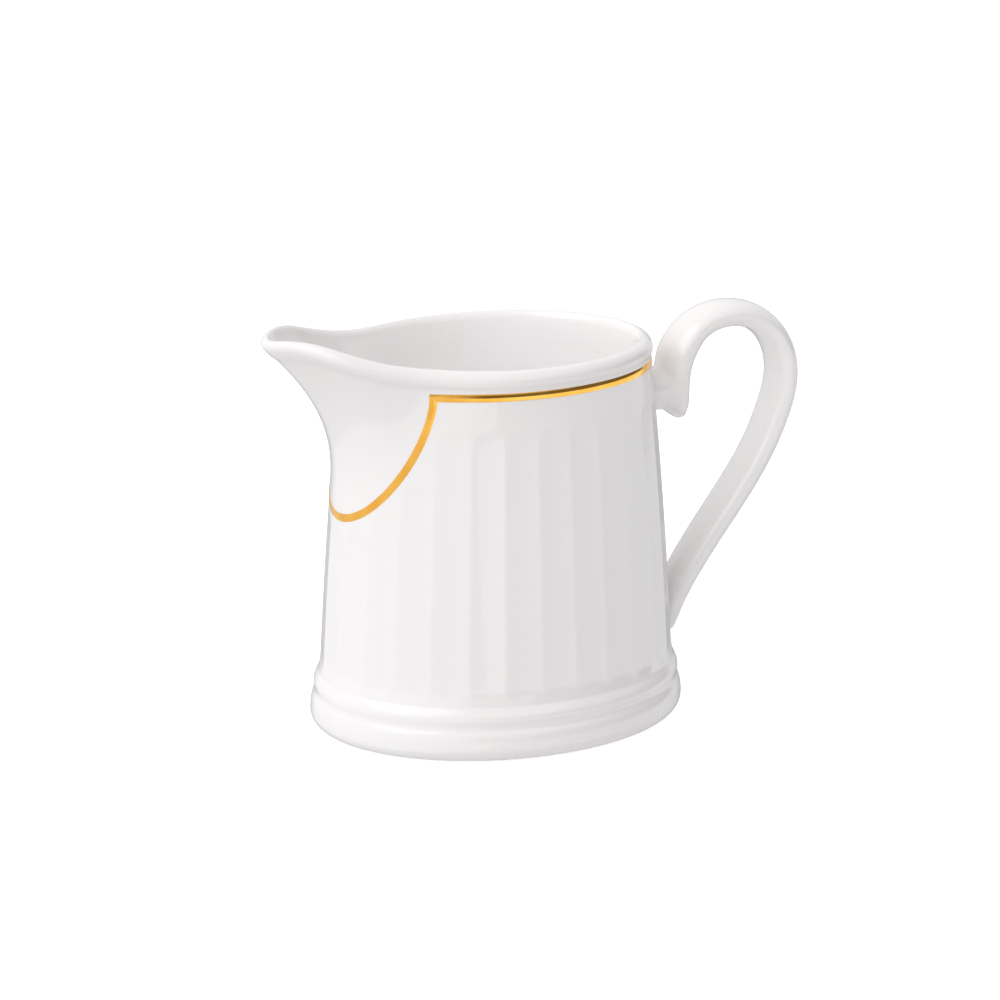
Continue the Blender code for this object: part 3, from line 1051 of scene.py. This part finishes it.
@once("white_porcelain_under_glaze")
def glazed_porcelain(finish, colours):
    """White porcelain under clear glaze: faint clouds, glaze pooled in the flutes, a soft orange peel."""
    clouds = finish.ramp(finish.noise(scale=26.0, detail=4.0), low=0.35, high=0.65)
    white = finish.blend(clouds, colours.porcelain, colours.porcelain_warm)
    upright = finish.stretched((1.0, 1.0, 0.045))
    runs = finish.noise(scale=1100.0, roughness=0.6, place=upright)
    level = finish.stretched((0.06, 0.06, 1.0))
    turns = finish.noise(scale=900.0, detail=2.0, place=level)
    turns_share = 0.35
    streaks = finish.blend(turns_share, finish.grey(runs, darkest=0.985), finish.grey(turns, darkest=0.985))
    white = finish.multiply(white, streaks)
    pool = finish.add("ShaderNodeAttribute", attribute_name="glaze_pool").outputs["Fac"]
    pooled = finish.ramp(pool, low=0.0, high=1.0, to_high=0.22)
    tinted = finish.blend(pooled, white, colours.glaze_pool)
    wear = finish.noise(scale=90.0, detail=5.0, roughness=0.6)
    gloss = finish.ramp(wear, low=0.3, high=0.7, to_low=0.07, to_high=0.15)
    peel = finish.bump(finish.noise(scale=260.0, detail=2.0), strength=0.05, distance=0.2 * MM)
    cells = finish.add("ShaderNodeTexVoronoi", {"Vector": finish.place, "Scale": 210.0})
    pinholes = finish.ramp(cells.outputs["Distance"], low=0.02, high=0.06)
    surface = finish.bump(pinholes, strength=0.12, distance=0.05 * MM, under=peel)
    finish.set(
        Base_Color=tinted,
        Roughness=gloss,
        Normal=surface,
        IOR=1.5,
        Coat_Weight=0.35,
        Coat_Roughness=0.04,
        Subsurface_Weight=0.12,
        Subsurface_Radius=(1.0, 0.9, 0.8),
        Subsurface_Scale=1.5 * MM,
    )


@once("ground_bare_biscuit")
def bare_biscuit(finish, colours):
    """Unglazed fired clay, ground flat: matt, with a fine grain and a few grey rub marks."""
    rubs = finish.noise(scale=120.0, detail=6.0, roughness=0.7)
    marks = finish.ramp(rubs, low=0.45, high=0.7, to_high=0.5)
    tone = finish.blend(marks, colours.biscuit, colours.biscuit_rubbed)
    rough = finish.ramp(finish.noise(scale=300.0), low=0.3, high=0.7, to_low=0.6, to_high=0.85)
    grain = finish.bump(finish.noise(scale=2500.0, roughness=0.7), strength=0.3, distance=0.05 * MM)
    finish.set(Base_Color=tone, Roughness=rough, Normal=grain)


@once("burnished_fired_gold")
def fired_gold(finish, colours):
    """Burnished gold: richer where it lies thicker, with brush marks and rub marks in its gloss."""
    thick = finish.ramp(finish.noise(scale=140.0, detail=4.0, roughness=0.6), low=0.4, high=0.65)
    tone = finish.blend(thick, colours.gold, colours.gold_deep)
    rubs = finish.noise(scale=420.0, detail=5.0, roughness=0.65)
    gloss = finish.ramp(rubs, low=0.3, high=0.75, to_low=0.06, to_high=0.15)
    marks = finish.bump(finish.noise(scale=1500.0, roughness=0.6), strength=0.1, distance=0.02 * MM)
    finish.set(Base_Color=tone, Roughness=gloss, Normal=marks, Metallic=1.0)


@once("white_studio_card")
def pale_floor(finish, colours):
    """Plain white studio card."""
    tone = finish.blend(finish.noise(scale=3.0, detail=2.0), colours.card, colours.card_pale)
    finish.set(
        Base_Color=tone,
        Roughness=0.9,
        Specular_IOR_Level=0.1,
        Emission_Color=(1.0, 1.0, 1.0),
        Emission_Strength=0.42,
    )


# Stage


def make_floor(stage, colours):
    """A card that the camera sees but that adds no light and no mirror image to the jug."""
    clear = 0.1 * MM
    mesh = bmesh.new()
    bmesh.ops.create_circle(mesh, cap_ends=True, segments=96, radius=stage.floor_radius)
    bmesh.ops.translate(mesh, verts=mesh.verts, vec=(0.0, 0.0, -clear))
    floor = add_piece(mesh, "floor", [pale_floor(colours)], sharp_degrees=30)
    floor.visible_diffuse = False
    floor.visible_glossy = False
    return floor


def make_room(stage):
    """A white room, dimmer behind the camera and straight behind the jug, with a dark band to mirror."""
    camera_side = (0.66, -0.74, 0.1)
    far_wall = (0.405, 0.869, -0.282)
    world = bpy.data.worlds.new("white_room")
    bpy.context.scene.world = world
    world.use_nodes = True
    nodes = Nodes(world.node_tree)
    direction = nodes.add("ShaderNodeTexCoord").outputs["Generated"]
    height = nodes.add("ShaderNodeSeparateXYZ", {"Vector": direction}).outputs["Z"]

    def smooth(value, low, high):
        return nodes.ramp(value, low, high, interpolation_type="SMOOTHSTEP")

    def towards(vector):
        product = nodes.add("ShaderNodeVectorMath", {0: direction, 1: vector}, operation="DOT_PRODUCT")
        return product.outputs["Value"]

    def mixed(share, first, second):
        return nodes.add("ShaderNodeMix", {"Factor": share, "A": first, "B": second}).outputs["Result"]

    low = mixed(smooth(height, low=-0.5, high=-0.38), stage.room, stage.bounce)
    band = mixed(smooth(height, low=-0.13, high=-0.05), low, stage.band)
    front = mixed(smooth(height, low=0.2, high=0.3), band, stage.front)
    room = mixed(smooth(towards(camera_side), low=0.2, high=0.55), stage.room, front)
    lit = mixed(smooth(towards(far_wall), low=0.78, high=0.97), room, stage.dim)
    seen = nodes.add("ShaderNodeLightPath").outputs["Is Camera Ray"]
    background = world.node_tree.nodes["Background"]
    nodes.put(background.inputs["Strength"], mixed(seen, lit, 1.0))
    nodes.put(background.inputs["Color"], (1.0, 1.0, 1.0))


def direction_to(azimuth, elevation):
    """Unit vector towards a place round from -Y towards -X and above the floor."""
    level = math.cos(elevation)
    return Vector((-level * math.sin(azimuth), -level * math.cos(azimuth), math.sin(elevation)))


def placed(name, data, place, back):
    """An object in the scene that stands here and has this direction behind it."""
    thing = bpy.data.objects.new(name, data)
    thing.location = place
    thing.rotation_euler = back.to_track_quat("Z", "Y").to_euler()
    bpy.context.scene.collection.objects.link(thing)
    return thing


def make_key_light(stage):
    light = bpy.data.lights.new("key_light", "SUN")
    light.energy = stage.key
    light.angle = stage.key_spread
    away = direction_to(stage.key_azimuth, stage.key_elevation)
    placed("key_light", light, away, away)


def make_fill_light(stage):
    light = bpy.data.lights.new("inside_fill", "POINT")
    light.energy = stage.fill
    light.shadow_soft_size = stage.fill_radius
    lamp = placed("inside_fill", light, stage.fill_place, Vector((0.0, 0.0, 1.0)))
    lamp.visible_camera = False
    lamp.visible_glossy = False


def make_camera(stage):
    lens = bpy.data.cameras.new("camera")
    lens.lens = stage.lens
    away = direction_to(stage.azimuth, stage.elevation)
    place = Vector(stage.target) + stage.distance * away
    bpy.context.scene.camera = placed("camera", lens, place, away)


class JUG_OT_stage(bpy.types.Operator):
    """Set up the pale floor, the soft light and the camera"""

    bl_idname = "jug.stage"
    bl_label = "Stage"

    def execute(self, context):
        stage = context.scene.jug_stage
        make_floor(stage, context.scene.jug_colours)
        make_room(stage)
        make_key_light(stage)
        make_fill_light(stage)
        make_camera(stage)
        context.scene.view_settings.view_transform = "Standard"
        return {"FINISHED"}


# Add-on


class JUG_PT_panel(bpy.types.Panel):
    """Sizes, colours and build buttons of the cream jug"""

    bl_idname = "JUG_PT_panel"
    bl_label = "Cream Jug"
    bl_space_type = "VIEW_3D"
    bl_region_type = "UI"
    bl_category = "Cream Jug"

    def draw(self, context):
        for name, group in SETTINGS.items():
            box = self.layout.box()
            settings = getattr(context.scene, name)
            for field in group.__annotations__:
                box.prop(settings, field)
        for operator in OPERATORS:
            self.layout.operator(operator.bl_idname)


OPERATORS = (JUG_OT_stage, JUG_OT_body, JUG_OT_handle, JUG_OT_slip_joints, JUG_OT_gold_lines)


def register():
    for cls in (*SETTINGS.values(), *OPERATORS, JUG_PT_panel):
        bpy.utils.register_class(cls)
    for name, group in SETTINGS.items():
        setattr(bpy.types.Scene, name, PointerProperty(type=group))


def unregister():
    for name in SETTINGS:
        delattr(bpy.types.Scene, name)
    for cls in (JUG_PT_panel, *OPERATORS, *SETTINGS.values()):
        bpy.utils.unregister_class(cls)


def main():
    register()
    bpy.ops.jug.stage()
    bpy.ops.jug.body()
    bpy.ops.jug.handle()
    bpy.ops.jug.slip_joints()
    bpy.ops.jug.gold_lines()


if __name__ == "__main__":
    main()
